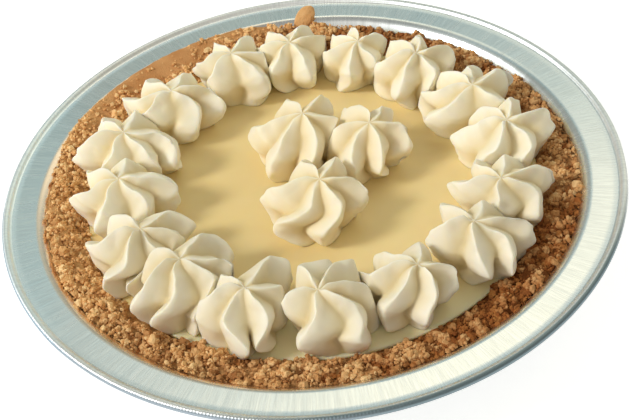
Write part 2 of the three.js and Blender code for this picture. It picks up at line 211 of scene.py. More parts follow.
# Loose crumbs: how many, their smallest and largest size, how often each ball is divided, how far it may
# stand up, the seed and the number of clumps, if any
CRUMB_KINDS = [
    ("crumbs_coarse", 1000, (1.8, 3.4), 1, 0.3, 71, 0),
    ("crumbs_clumped", 8800, (1.1, 2.3), 0, 0.36, 74, 1000),
    ("crumbs_fine", 7500, (0.6, 1.3), 0, 0.5, 73, 0),
]
CLUMP_SPREAD = 0.5
CLUMP_SPREAD_ACROSS = 0.065
HEAP_HEIGHT = 1.1
MOSTLY_SMALL = 1.8
INNER_OVERLAP = 0.4
LIP_MARGIN = 0.6
CRUMB_SUNK = 0.25
CRUMB_CLEARANCE = 0.2
CRUMB_SETTLING = (-0.6, 1.0)
CRUMB_STRETCH = (0.62, 1.3)
CRUMB_BUMPS = (0.66, 1.25)
SWEPT_SHARE = 0.96
SWEPT_RADII = (95.5, 98.5)
ON_LIP_RADII = (103.4, CRUST_OUTER_RADIUS)

# How low a crumb seems to lie, the painted shade that gives it in the hollows, and the bearing's darkening
LOWNESS = 0.38
RAISED_BY_SETTLING = 0.2
RAISED_BY_HEAP = 0.25
RAISED_BY_CLUMP = 0.75
HOLLOW_SHADE = 0.42
HOLLOW_SHADE_GAIN = 1.1
TOAST_AND_SHADOW_BY_BEARING = 0.8
TOAST_AND_SHADE_LESS = 0.1

# The custard
CUSTARD_TOP_Z = 22.0
CUSTARD_FOOT_Z = CRUST_FLOOR_Z + 0.3
CUSTARD_SIDES = [(40.0, CUSTARD_FOOT_Z), (78.2, CUSTARD_FOOT_Z), (89.0, 20.6), (89.6, 21.4)]
CUSTARD_TOP_RADII = (89.4, 2.0)
CUSTARD_EDGE = (86, 90)
CUSTARD_EDGE_RISE = 0.3
CUSTARD_COLUMNS = 240
CUSTARD_ROWS = 44
CUSTARD_WAVE = 17.0
CUSTARD_WAVE_DEPTH = 0.16
CUSTARD_RIPPLE = 6.0
CUSTARD_RIPPLE_DEPTH = 0.035

# A cream swirl, with places along it as shares of the way from its tip to its foot
FINS = 6
FIN_COLUMNS = 24
SWIRL_ROWS = 48
ROW_CROWDING = 1.3
RIDGE_CROWDING = 0.55
SWIRL_ACROSS = 41.0
SWIRL_HEIGHT = 21.2
SWIRL_FOOT_Z = CUSTARD_TOP_Z - 0.1
BULGE_SHARE = 0.48
FOOT_ANGLE = math.radians(131)
FIN_SQUARENESS = 0.88
RIDGE_ROUNDING = 0.055
BLADE_SHARPNESS = 0.4
PETAL_SHARPNESS = 0.24
PETAL_ROUNDNESS = 1.7
GROOVE_SHARE = 0.68
GROOVE_DEEPENING = 0.24
GROOVE_PLACE = 0.6
GROOVE_FALL = 1.05
FOOT_FLARE = 0.06
TUCK = 0.05
TUCK_RETURN = 0.4
DIMPLE = 0.06
TIP_BAND = (0.0, 0.1, 0.15, 0.45)
TIP_RIDGE = 0.6
DIMPLE_SPAN = (0.0, 0.1)
PETAL_SPAN = (0.2, 0.62)
SLIM_SPAN = (0.25, 0.75)
TUCK_SPAN = (0.68, 0.9)
TUCK_RETURN_SPAN = (0.9, 1)
GROOVE_SPAN = (0.4, 0.75)
FLARE_SPAN = (0.85, 1)

# Limits of what is drawn at random for each fin, as shares of the swirl's size
FIN_REACH = (0.94, 1.05)
FIN_SLIMNESS = (0.82, 1.06)
FIN_LIFT = (-0.08, 0.08)

# How much slimmer the two front fins are, and how ragged all of them
FRONT_SLIMMING = [1, 1, 1, 1, 0.88, 0.84]
RAGGEDNESS = 0.05
RAGGED_WAVES = np.array([2.0, 1.0, 1.0])
WAVES_DOWN = 4.5

# How far a fin turns round the swirl, in degrees, and along which stretch of it
SWING = 12.0
GIRTH_TURNS = (-16, 8)
FOOT_TURNS = (-12, 22)
CHANCE_TURN = 5
SWING_SPAN = (0.03, 0.32)
GIRTH_SPAN = (0.34, 0.7)
FOOT_SPAN = (0.72, 1)
CHANCE_SPAN = (0.1, 0.4)

# How swirls press together, and their lumps
PRESS = 4.0
PRESS_OVERLAP = 0.4
NEIGHBOUR_REACH = SWIRL_ACROSS * 1.15
LUMP = 5.0
LUMP_DEPTH = 0.55
GRAIN = 2.2
GRAIN_DEPTH = 0.14
LUMPY_FROM = (0.0, 0.1)

# Bearing round the pie, distance from its middle, width, height, bearings of the six fins, lean of the tip
# and how far the fifth and sixth fins have turned at the girth and at the foot
BORDER_SEED = 100
BORDER = [
    (2.5, 75.7, 1.02, 0.97, (5, 62, 112, 160, 238, 288), (3.3, 0), ((5, 0), (-10, -5))),
    (24, 72.8, 1.03, 0.95, (28, 72, 118, 160, 212, 300), (3.8, -2), ((-5, 0), (0, 5))),
    (49.5, 73.3, 0.97, 0.95, (3, 68, 118, 170, 228, 290), (3.8, -1.3), ((13, 38), (-5, -6))),
    (70.5, 74.3, 0.84, 0.93, (22, 82, 125, 172, 238, 288), (2.5, -2), ((16, -6), (17, 45))),
    (92.5, 76.5, 0.95, 0.93, (2, 58, 112, 165, 225, 285), (1.8, -2.2), ((7, 35), (10, 18))),
    (109.5, 74.4, 0.98, 0.97, (-8, 60, 112, 165, 212, 305), (-3.1, 0), ((0, 5), (4, -12))),
    (138, 75.8, 1.1, 0.96, (-12, 55, 120, 172, 215, 312), (2.9, -0.9), ((-5, 0), (-8, -5))),
    (160.5, 75.3, 1.1, 0.98, (-20, 60, 120, 178, 235, 300), (-2.3, 0), ((0, 0), (6, 5))),
    (182, 73.4, 1.05, 0.97, (-10, 72, 140, 185, 232, 298), (-0.6, 0), ((7, 5), (0, 0))),
    (207.5, 75.3, 1.02, 0.99, (-20, 28, 120, 180, 240, 295), (1.9, 1.9), ((-8, -2), (-38, -30))),
    (227.5, 73.7, 1.09, 1.0, (-12, 42, 130, 205, 250, 312), (-0.7, 3.8), ((-15, -7), (-20, -35))),
    (247, 76.2, 0.95, 0.99, (-15, 48, 120, 168, 222, 288), (2.5, 1.3), ((46, 43), (-5, 14))),
    (271.5, 76.4, 0.96, 0.98, (-5, 45, 100, 168, 247, 318), (-5.5, 2.4), ((-20, -18), (-15, -10))),
    (292.5, 73.2, 0.9, 0.97, (-18, 58, 118, 168, 225, 285), (5.6, -0.4), ((-2, 13), (-5, 3))),
    (319.5, 76.4, 0.97, 0.96, (-10, 55, 118, 172, 245, 308), (-2.1, -0.4), ((26, 0), (-14, -8))),
    (340, 76.8, 1.0, 0.93, (8, 63, 115, 165, 245, 315), (-2.8, -2.8), ((0, 5), (-10, 0))),
]

# The same for the swirls in the middle, placed by x and y
CENTRE_SEED = 200
CENTRE = [
    (-4.6, 18.7, 1.06, 1.02, (-18, 42, 102, 165, 218, 282), (5.3, 3.1), ((21, 18), (-2, 0))),
    (20.0, 11.0, 0.94, 0.98, (-12, 42, 98, 160, 226, 280), (6.5, 0.7), ((30, 28), (7, 35))),
    (-1.1, -19.6, 1.02, 0.99, (-15, 48, 100, 165, 238, 288), (5, 1.4), ((-25, 12), (-14, -2))),
]

# Fins that reach further than the rest
LONG_FINS = {
    "border_swirl_12": [1, 1.26, 1, 1, 1, 1],
    "border_swirl_13": [1, 1.16, 1.12, 1, 1, 1],
    "border_swirl_14": [1, 1, 1, 1.1, 1.14, 1],
}

# Colours of the foil, with painted reflections and painted shade tinted into it in places
FOIL_COLOURS = [(0.84, 0.86, 0.86), (0.93, 0.94, 0.93)]
STREAK_TINTS = [(0.9, 0.9, 0.9), (1.06, 1.06, 1.06)]
BEAD_PAINTED_REFLECTION = (0.2, 0.26, 0.29)
EDGE_PAINTED_REFLECTION = (0.36, 0.42, 0.48)
SHOULDER_PAINTED_REFLECTION = (0.8, 0.66, 0.53)
BACK_RIGHT_PAINTED_REFLECTION = (0.83, 0.87, 0.885)
LEFT_PAINTED_REFLECTION = (0.98, 1.06, 1.1)
OUTSIDE_PAINTED_SHADE = (0.47, 0.49, 0.5)

# Colours of the rest, from dark to light
# The crust core shows in the gaps between the crumbs: painted shade makes it darker than they are
CORE_PAINTED_SHADE_COLOURS = [(0.32, 0.14, 0.04), (0.54, 0.28, 0.1), (0.74, 0.44, 0.185)]
CRUMB_COLOURS = [(0.6, 0.29, 0.1), (0.86, 0.5, 0.205), (1.0, 0.72, 0.37)]
PRESSED_COLOURS = [(0.56, 0.25, 0.085), (0.68, 0.35, 0.14)]
# Darkens the crust for browning and for painted shade
TOAST_AND_SHADE_TINT = (0.37, 0.21, 0.1)
CUSTARD_COLOURS = [(0.8, 0.615, 0.285), (0.85, 0.675, 0.33)]
# Painted light: the custard paler in front
CUSTARD_PAINTED_LIGHT = (0.86, 0.77, 0.48)
# Painted shade: the cream darker and yellower in its grooves, lighter on its crests
CREAM_PAINTED_SHADE_COLOURS = [(0.79, 0.645, 0.355), (0.88, 0.79, 0.58), (0.92, 0.86, 0.71)]
# Painted shade on the swirls in the middle of the pie
CREAM_CENTRE_PAINTED_SHADE = (0.99, 0.96, 0.91)
# Painted shade on the swirls in front
CREAM_FRONT_PAINTED_SHADE = (0.91, 0.905, 0.9)
FLOOR_COLOURS = [(0.74, 0.74, 0.73), (0.77, 0.77, 0.76)]

# Large odd numbers that scatter the cells of the noise
SCATTER_CELLS = np.array([374761393, 668265263, 1440662683])
SCATTER_SEED = 974634777
SCATTER_AGAIN = 1274126177
SCATTER_TOP = 0xFFFF


# Numbers


def smoothstep(low, high, value):
    share = np.clip((value - low) / (high - low), 0, 1)
    return share * share * (3 - 2 * share)


def band(value, limits):
    """Rises from 0 to 1 between the first two limits and falls again between the last two."""
    start, full, fading, end = limits
    return smoothstep(start, full, value) * (1 - smoothstep(fading, end, value))


def lerp(a, b, share):
    return a + (b - a) * share


def noise(points, seed):
    """Smooth noise from -1 to 1 at each point, the same on every run."""
    cell = np.floor(points).astype(np.int64)
    share = points - cell
    share = share * share * (3 - 2 * share)
    total = np.zeros(points.shape[:-1])
    for corner in range(8):
        step = np.array([corner & 1, corner >> 1 & 1, corner >> 2])
        mixed = (cell + step) @ SCATTER_CELLS + seed * SCATTER_SEED
        mixed = (mixed ^ (mixed >> 13)) * SCATTER_AGAIN
        mixed = (mixed ^ (mixed >> 16)) & SCATTER_TOP
        weight = np.prod(np.where(step == 1, share, 1 - share), axis=-1)
        total += weight * (mixed / (SCATTER_TOP / 2) - 1)
    return total


def noise_vectors(points, seed):
    """A random direction at each point, from three noises."""
    return np.stack([noise(points, seed + axis) for axis in range(3)], axis=-1)


def near_bearing(bearing, centre, spread):
    apart = np.abs((bearing - centre + 540) % 360 - 180)
    return np.exp(-((apart / spread) ** 2))


def polar(points):
    radius = np.hypot(points[..., 0], points[..., 1])
    bearing = np.degrees(np.arctan2(points[..., 1], points[..., 0]))
    return radius, bearing


def from_polar(radius, bearing, height):
    turn = np.radians(bearing)
    return np.stack([radius * np.cos(turn), radius * np.sin(turn), height], axis=-1)


def set_radius(points, radius):
    scale = radius / np.hypot(points[..., 0], points[..., 1])
    points[..., 0] *= scale
    points[..., 1] *= scale


# Meshes


def add_object(name, data):
    added = bpy.data.objects.new(name, data)
    bpy.context.scene.collection.objects.link(added)
    return added


def make_piece(name, points, faces, material, smooth=True, replaces=()):
    """One piece of the pie, from points in millimetres."""
    mesh = bpy.data.meshes.new(name)
    mesh.from_pydata((np.asarray(points) * MM).tolist(), [], faces)
    mesh.materials.append(material)
    mesh.polygons.foreach_set("use_smooth", [smooth] * len(mesh.polygons))
    mesh.update()
    piece = add_object(name, mesh)
    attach(piece, "root")
    if replaces:
        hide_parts(*replaces)
    return piece


def add_attribute(piece, name, values, poles=()):
    """A value for each point, with those of its two poles last, if it has them."""
    attribute = piece.data.attributes.new(name, "FLOAT", "POINT")
    attribute.data.foreach_set("value", np.concatenate([np.ravel(values), poles]).astype(np.float32))


def closed_rings(first, rings, last):
    """Points and faces of a closed body, from a first pole out over rings of points to a last pole."""
    rows, columns = rings.shape[:2]
    points = np.concatenate([rings.reshape(-1, 3), [first, last]])
    low, high = rows * columns, rows * columns + 1
    faces = []
    for column in range(columns):
        beside = (column + 1) % columns
        faces.append((low, beside, column))
        for row in range(rows - 1):
            a = row * columns
            faces.append((a + column, a + beside, a + columns + beside, a + columns + column))
        top = (rows - 1) * columns
        faces.append((top + column, top + beside, high))
    return points, faces


def revolve(profile, columns):
    """Rings round +Z from a list of radius and height."""
    turn = np.arange(columns) / columns * 2 * np.pi
    radius, height = np.asarray(profile, float).T[..., None]
    return np.stack(np.broadcast_arrays(radius * np.cos(turn), radius * np.sin(turn), height), axis=-1)


def icosphere(levels):
    """Points and triangles of a unit ball."""
    golden = (1 + 5**0.5) / 2
    points = [(-1, golden, 0), (1, golden, 0), (-1, -golden, 0), (1, -golden, 0)]
    points += [(0, -1, golden), (0, 1, golden), (0, -1, -golden), (0, 1, -golden)]
    points += [(golden, 0, -1), (golden, 0, 1), (-golden, 0, -1), (-golden, 0, 1)]
    faces = [(0, 11, 5), (0, 5, 1), (0, 1, 7), (0, 7, 10), (0, 10, 11)]
    faces += [(1, 5, 9), (5, 11, 4), (11, 10, 2), (10, 7, 6), (7, 1, 8)]
    faces += [(3, 9, 4), (3, 4, 2), (3, 2, 6), (3, 6, 8), (3, 8, 9)]
    faces += [(4, 9, 5), (2, 4, 11), (6, 2, 10), (8, 6, 7), (9, 8, 1)]
    points = [np.array(point, float) / np.linalg.norm(point) for point in points]
    for _ in range(levels):
        middle = {}
        smaller = []

        def between(a, b):
            key = (min(a, b), max(a, b))
            if key not in middle:
                middle[key] = len(points)
                halfway = points[a] + points[b]
                points.append(halfway / np.linalg.norm(halfway))
            return middle[key]

        for a, b, c in faces:
            ab, bc, ca = between(a, b), between(b, c), between(c, a)
            smaller += [(a, ab, ca), (b, bc, ab), (c, ca, bc), (ab, bc, ca)]
        faces = smaller
    return np.array(points), np.array(faces)


def random_turns(count, rng):
    """Random rotation matrices."""
    q = rng.normal(size=(count, 4))
    w, x, y, z = (q / np.linalg.norm(q, axis=1, keepdims=True)).T
    rows = [
        [1 - 2 * (y * y + z * z), 2 * (x * y - z * w), 2 * (x * z + y * w)],
        [2 * (x * y + z * w), 1 - 2 * (x * x + z * z), 2 * (y * z - x * w)],
        [2 * (x * z - y * w), 2 * (y * z + x * w), 1 - 2 * (x * x + y * y)],
    ]
    return np.moveaxis(np.array(rows), -1, 0)


# Materials


class Nodes:
    """Short calls that add nodes to one tree. A value may be a number, a colour or another node's output."""

    def __init__(self, tree):
        self.tree = tree

    def new(self, kind, **settings):
        node = self.tree.nodes.new(kind)
        for key, value in settings.items():
            setattr(node, key, value)
        return node

    def put(self, socket, value):
        if isinstance(value, bpy.types.NodeSocket):
            self.tree.links.new(value, socket)
        else:
            socket.default_value = value

    def put_all(self, sockets, values):
        for socket, value in zip(sockets, values):
            self.put(socket, value)

    def fill(self, node, **values):
        """Puts values into a node's inputs by name, with underscores for spaces."""
        for key, value in values.items():
            self.put(node.inputs[key.replace("_", " ").title().replace("Ior", "IOR")], value)

    def math(self, operation, *values):
        node = self.new("ShaderNodeMath", operation=operation)
        self.put_all(node.inputs, values)
        return node.outputs[0]

    def add(self, a, b):
        return self.math("ADD", a, b)

    def times(self, a, b):
        return self.math("MULTIPLY", a, b)

    def length(self, x, y):
        return self.math("SQRT", self.add(self.times(x, x), self.times(y, y)))

    def combine(self, x, y, z):
        node = self.new("ShaderNodeCombineXYZ")
        self.put_all(node.inputs, (x, y, z))
        return node.outputs[0]

    def split(self, vector):
        node = self.new("ShaderNodeSeparateXYZ")
        self.put(node.inputs[0], vector)
        return node.outputs

    def position(self):
        return self.new("ShaderNodeNewGeometry").outputs["Position"]

    def attribute(self, name):
        return self.new("ShaderNodeAttribute", attribute_name=name).outputs["Fac"]

    def noise(self, vector, scale, detail=3.0, roughness=0.55):
        node = self.new("ShaderNodeTexNoise")
        self.fill(node, vector=vector, scale=scale, detail=detail, roughness=roughness)
        return node.outputs["Fac"]

    def ramp(self, share, places, colours):
        node = self.new("ShaderNodeValToRGB")
        elements = node.color_ramp.elements
        while len(elements) < len(places):
            elements.new(0.5)
        for element, place, colour in zip(elements, places, colours):
            element.position = place
            element.color = (*colour, 1.0)
        self.fill(node, fac=share)
        return node.outputs["Color"]

    def mix(self, share, a, b, blend="MIX"):
        node = self.new("ShaderNodeMix", data_type="RGBA", blend_type=blend)
        self.put(node.inputs[0], share)
        for socket, value in zip(node.inputs[6:8], (a, b)):
            self.put(socket, value if isinstance(value, bpy.types.NodeSocket) else (*value, 1.0))
        return node.outputs[2]

    def tint(self, share, colour, tint):
        """The colour, multiplied by a tint as far as the share says."""
        return self.mix(share, colour, tint, "MULTIPLY")

    def span(self, value, low, high, to_low=0.0, to_high=1.0, kind="SMOOTHSTEP"):
        node = self.new("ShaderNodeMapRange", interpolation_type=kind)
        self.put_all(node.inputs, (value, low, high, to_low, to_high))
        return node.outputs[0]

    def zone(self, value, from_mm, to_mm):
        """Rises from 0 to 1 between two places in millimetres."""
        return self.span(value, from_mm * MM, to_mm * MM)

    def bump(self, height, strength, depth_mm):
        node = self.new("ShaderNodeBump")
        self.fill(node, strength=strength, distance=depth_mm * MM, height=height)
        return node.outputs["Normal"]


def new_material(name, **values):
    """A material, its node calls and its shader, which holds the values that are the same all over."""
    material = bpy.data.materials.new(name)
    material.use_nodes = True
    shader = material.node_tree.nodes["Principled BSDF"]
    n = Nodes(material.node_tree)
    n.fill(shader, **values)
    return material, n, shader


def foil_material():
    """Bright foil with streaks that run outwards. Painted reflection darkens its bead in front, and painted
    shade darkens its outside.
    """
    material, n, shader = new_material("foil", metallic=1.0, anisotropic=0.45)
    position = n.position()
    x, y, z = n.split(position)
    bearing = n.math("ARCTAN2", y, x)
    radius = n.length(x, y)
    outside = n.attribute("outside")
    around = n.times(bearing, STREAK_RADIUS * MM)
    outwards = n.combine(around, n.times(radius, STREAK_STRETCH), n.times(z, STREAK_STRETCH))
    streaks = n.noise(outwards, STREAKS_PER_METRE, roughness=0.6)

    on_bead = n.zone(radius, 120.1, 120.7)
    front_right = n.times(n.zone(y, -20, -70), n.zone(x, -60, 0))
    front_left = n.times(n.zone(x, 30, -30), n.zone(y, 60, 0))
    back_right = n.times(n.zone(x, 15, 60), n.zone(y, -30, 40))
    on_edge = n.zone(radius, 121.1, 121.6)
    on_shoulder = n.times(n.zone(radius, 104.6, 105.6), n.zone(radius, 109.4, 108.2))
    # Painted reflection of the crust's brown on the foil's shoulder at the left
    brown = n.times(n.times(on_shoulder, n.zone(x, 10, -40)), n.math("SUBTRACT", 1.0, outside))

    colour = n.ramp(n.noise(position, 22.0), (0.3, 0.7), FOIL_COLOURS)
    colour = n.tint(1.0, colour, n.ramp(streaks, (0.32, 0.68), STREAK_TINTS))
    # Painted dark reflection on the bead at the front
    colour = n.mix(n.times(on_bead, front_right), colour, BEAD_PAINTED_REFLECTION)
    # Painted grey-blue reflection on the bead's outer edge at the front left
    colour = n.mix(n.times(on_edge, front_left), colour, EDGE_PAINTED_REFLECTION)
    # Painted reflection: cooler and darker at the back right
    colour = n.tint(back_right, colour, BACK_RIGHT_PAINTED_REFLECTION)
    # Painted reflection: a cyan tint at the left
    colour = n.tint(n.zone(x, -85, -107), colour, LEFT_PAINTED_REFLECTION)
    # Painted shade: the pan's outside darkened
    colour = n.tint(outside, colour, OUTSIDE_PAINTED_SHADE)
    n.fill(shader, base_color=n.mix(brown, colour, SHOULDER_PAINTED_REFLECTION))

    sheen = n.span(n.noise(outwards, SHEEN_PER_METRE), 0.3, 0.7, 0.24, 0.28)
    duller_bead = n.span(radius, 118.2 * MM, 119.0 * MM, 0.0, 0.2)
    n.fill(shader, roughness=n.add(sheen, duller_bead))

    crimped = n.times(on_bead, n.times(n.zone(y, -50, -90), n.zone(x, 50, -20)))
    ribs = n.times(n.math("SINE", n.times(bearing, RIBS_PER_RADIAN)), crimped)
    height = n.add(streaks, n.times(ribs, RIB_SHARE))
    tangent = n.new("ShaderNodeTangent", direction_type="RADIAL", axis="Z").outputs[0]
    n.fill(shader, normal=n.bump(height, n.span(on_bead, 0.0, 1.0, 0.02, 0.5), 0.06), tangent=tangent)
    return material


def crumb_material(name, colours, grain_mm):
    """Baked crumbs, darkened by browning and painted shade; "pressed" turns them into a smooth brown edge."""
    material, n, shader = new_material(name, roughness=0.86, specular_ior_level=0.3)
    geometry = n.new("ShaderNodeNewGeometry")
    position = geometry.outputs["Position"]
    chance = n.times(geometry.outputs["Random Per Island"], 0.5)
    mottle = n.times(n.noise(position, 620.0), 0.55)
    drift = n.noise(position, 90.0, 2.0)
    share = n.add(chance, n.add(mottle, n.times(drift, 0.35)))
    loose = n.ramp(share, (0.34, 0.66, 1.0), colours)
    smooth = n.ramp(drift, (0.35, 0.65), PRESSED_COLOURS)
    colour = n.mix(n.attribute("pressed"), loose, smooth)
    # Darker for browning, and with painted shade in hollows and where the swirls' shadows fall
    n.fill(shader, base_color=n.tint(n.attribute("toast_and_shade"), colour, TOAST_AND_SHADE_TINT))
    n.fill(shader, normal=n.bump(n.noise(position, 1500.0, 4.0), 0.7, grain_mm))
    return material


def custard_material():
    """Smooth lime custard, with painted light that makes it paler where it shows in front of the swirls."""
    material, n, shader = new_material("custard", roughness=0.42, specular_ior_level=0.35)
    n.fill(shader, subsurface_weight=0.45, subsurface_scale=4 * MM, subsurface_radius=(1.0, 0.7, 0.3))
    position = n.position()
    # Painted light: paler in front of the swirls
    in_front = n.zone(n.split(position)[1], -55, -75)
    colour = n.ramp(n.noise(position, 28.0), (0.3, 0.7), CUSTARD_COLOURS)
    n.fill(shader, base_color=n.mix(in_front, colour, CUSTARD_PAINTED_LIGHT))
    n.fill(shader, normal=n.bump(n.noise(position, 260.0, 2.0), 0.12, 0.3))
    return material


def cream_material():
    """Piped cream with painted shade: yellower in grooves, warmer in the pie's middle, greyer in front."""
    material, n, shader = new_material("cream", roughness=0.5, specular_ior_level=0.35)
    n.fill(shader, subsurface_weight=0.6, subsurface_scale=2.5 * MM, subsurface_radius=(1.0, 0.85, 0.55))
    position = n.position()
    x, y, _ = n.split(position)
    radius = n.length(x, y)
    drift = n.times(n.math("SUBTRACT", n.noise(position, 60.0, 2.0), 0.5), 0.4)
    # Painted shade: darker and yellower in the grooves, lighter on the crests
    colour = n.ramp(n.add(n.attribute("ridge"), drift), (0.0, 0.45, 0.9), CREAM_PAINTED_SHADE_COLOURS)
    # Painted shade: warmer and a little darker on the swirls in the middle
    colour = n.tint(n.zone(radius, 50, 44), colour, CREAM_CENTRE_PAINTED_SHADE)
    # Painted shade: greyer on the swirls in front
    in_front = n.times(n.zone(y, -5, -45), n.zone(radius, 44, 50))
    n.fill(shader, base_color=n.tint(in_front, colour, CREAM_FRONT_PAINTED_SHADE))
    n.fill(shader, normal=n.bump(n.noise(position, 420.0), 0.1, 0.4))
    return material


def floor_material():
    """Pale paper that glows a little, so that it comes out white."""
    material, n, shader = new_material("floor", roughness=0.9, specular_ior_level=0.1)
    n.fill(shader, emission_color=(1.0, 1.0, 1.0, 1.0), emission_strength=FLOOR_GLOW)
    paper = n.noise(n.position(), 300.0)
    n.fill(shader, base_color=n.ramp(paper, (0.3, 0.7), FLOOR_COLOURS))
    return material


FOIL_LOOK = foil_material()
CUSTARD_LOOK = custard_material()
CREAM_LOOK = cream_material()
# Painted shade: the core is darker than the loose crumbs
CORE_LOOK = crumb_material("crust_core", CORE_PAINTED_SHADE_COLOURS, 0.6)
CRUMB_LOOK = crumb_material("crumb", CRUMB_COLOURS, 0.4)


# Camera, floor and light


def turned(a, b, angle):
    """Two directions at right angles, turned in their plane from the first towards the second."""
    return math.cos(angle) * a + math.sin(angle) * b, math.cos(angle) * b - math.sin(angle) * a


def make_camera():
    """The photo's viewpoint: it faces the middle of the rim, then turns aside, down and round."""
    right = np.array([1.0, 0.0, 0.0])
    ahead = np.array([0.0, math.cos(CAMERA_TILT), -math.sin(CAMERA_TILT)])
    above = np.array([0.0, math.sin(CAMERA_TILT), math.cos(CAMERA_TILT)])
    place = -CAMERA_DISTANCE * ahead + np.array([0.0, 0.0, BEAD_MIDDLE_Z])
    right, ahead = turned(right, ahead, math.atan2(AIM_ACROSS_PIXELS, FOCAL_PIXELS))
    above, ahead = turned(above, ahead, math.atan2(AIM_DOWN_PIXELS, FOCAL_PIXELS))
    right, above = turned(right, above, -CAMERA_ROLL)
    data = bpy.data.cameras.new("camera")
    data.sensor_width = SENSOR_WIDTH
    data.lens = SENSOR_WIDTH * FOCAL_PIXELS / PHOTO_WIDTH_PIXELS
    data.clip_start = NEAREST_SEEN * MM
    camera = add_object("camera", data)
    rows = np.column_stack([right, above, -ahead, place * MM]).tolist()
    camera.matrix_world = Matrix([*rows, (0, 0, 0, 1)])
    bpy.context.scene.camera = camera


def make_stage():
    corners = [(-1, -1), (1, -1), (1, 1), (-1, 1)]
    points = [(x * FLOOR_HALF_WIDTH * MM, y * FLOOR_HALF_WIDTH * MM, FLOOR_Z * MM) for x, y in corners]
    mesh = bpy.data.meshes.new("floor")
    mesh.from_pydata(points, [], [(0, 1, 2, 3)])
    mesh.materials.append(floor_material())
    floor = add_object("floor", mesh)


def make_light():
    """A soft sun from the left, a little in front of the pie."""
    sun = bpy.data.lights.new("key", "SUN")
    sun.energy = SUN_STRENGTH
    sun.angle = SUN_SPREAD
    sun.color = SUN_COLOUR
    lamp = add_object("key", sun)
    level = math.cos(SUN_RISE)
    towards = Vector((math.cos(SUN_BEARING) * level, math.sin(SUN_BEARING) * level, math.sin(SUN_RISE)))
    lamp.rotation_mode = "QUATERNION"
    lamp.rotation_quaternion = towards.to_track_quat("Z", "Y")


def make_world():
    """Soft fill: pale in front, dimmer overhead, and blue-green behind, with a bright patch at the right."""
    world = bpy.data.worlds.new("studio")
    bpy.context.scene.world = world
    world.use_nodes = True
    n = Nodes(world.node_tree)
    x, y, z = n.split(n.new("ShaderNodeTexCoord").outputs["Generated"])
    slanted = n.add(n.times(x, 2.0), n.times(n.math("SUBTRACT", z, 0.64), 5.0))
    back = n.ramp(n.span(slanted, -0.7, 0.9, kind="LINEAR"), *zip(*BACK_LIGHT))
    front = n.ramp(n.span(x, -0.7, 0.7), *zip(*FRONT_LIGHT))
    light = n.mix(n.span(y, -0.1, 0.4), front, back)
    light = n.mix(n.span(z, 0.86, 0.95), light, OVERHEAD_LIGHT)
    straight = n.new("ShaderNodeLightPath").outputs["Is Camera Ray"]
    n.fill(world.node_tree.nodes["Background"], color=n.mix(straight, light, BACKDROP))


# Foil pan


def wall_radius(z):
    """Radius of the wall's inner face."""
    share = (z - FOIL) / (WALL_TOP_Z - FOIL)
    return lerp(BASE_RADIUS, FLANGE_INNER_RADIUS - SHOULDER_RADIUS, share) - FOIL


def pan_profile():
    """Radius and height round the foil's section: its outside, its bead and its inside."""
    base_flat = BASE_RADIUS - BASE_ROUNDING
    outside = [(radius, 0.0) for radius in (*BASE_RING_RADII, base_flat)]
    outside += [(BASE_RADIUS - BASE_ROUNDING * 0.5, 0.12), (BASE_RADIUS - BASE_ROUNDING * 0.05, 0.7)]
    outside += [(wall_radius(z) + WALL_FOIL, z) for z in np.linspace(1.7, 26.4, 7)]
    outside.append((FLANGE_INNER_RADIUS - 0.7, WALL_TOP_Z - 0.85))
    outside.append((FLANGE_INNER_RADIUS + 0.6, WALL_TOP_Z - FOIL))
    for share in np.linspace(0, 1, 5):
        radius = lerp(FLANGE_INNER_RADIUS + 2, BEAD_MIDDLE_RADIUS - 1.6, share)
        outside.append((radius, lerp(WALL_TOP_Z, FLANGE_OUTER_Z, share) - FOIL))
    bead = []
    for angle in np.radians(np.linspace(-150, 165, 15)):
        radius = BEAD_MIDDLE_RADIUS + BEAD_RADIUS * math.cos(angle)
        bead.append((radius, BEAD_MIDDLE_Z + BEAD_RADIUS * math.sin(angle)))
    inside = [(BEAD_MIDDLE_RADIUS - 1.75, FLANGE_OUTER_Z - 0.12)]
    for share in np.linspace(0, 1, 9):
        radius = lerp(FLANGE_FLAT_TO, FLANGE_FLAT_FROM, share)
        inside.append((radius, lerp(FLANGE_OUTER_Z, WALL_TOP_Z, share)))
    inside += [(FLANGE_INNER_RADIUS + 0.3, WALL_TOP_Z - 0.1), (FLANGE_INNER_RADIUS - 0.6, WALL_TOP_Z - 0.5)]
    inside += [(wall_radius(z), z) for z in np.linspace(WALL_TOP_Z - SHOULDER_RADIUS, BASE_ROUNDING, 9)]
    inside += [(radius, FOIL) for radius in (base_flat, *reversed(BASE_RING_RADII))]
    return outside, bead, inside


def foil_noise(rings, waves, seed):
    radius, bearing = polar(rings)
    return noise(np.stack([np.radians(bearing), radius, rings[..., 2]], axis=-1) * np.array(waves), seed)


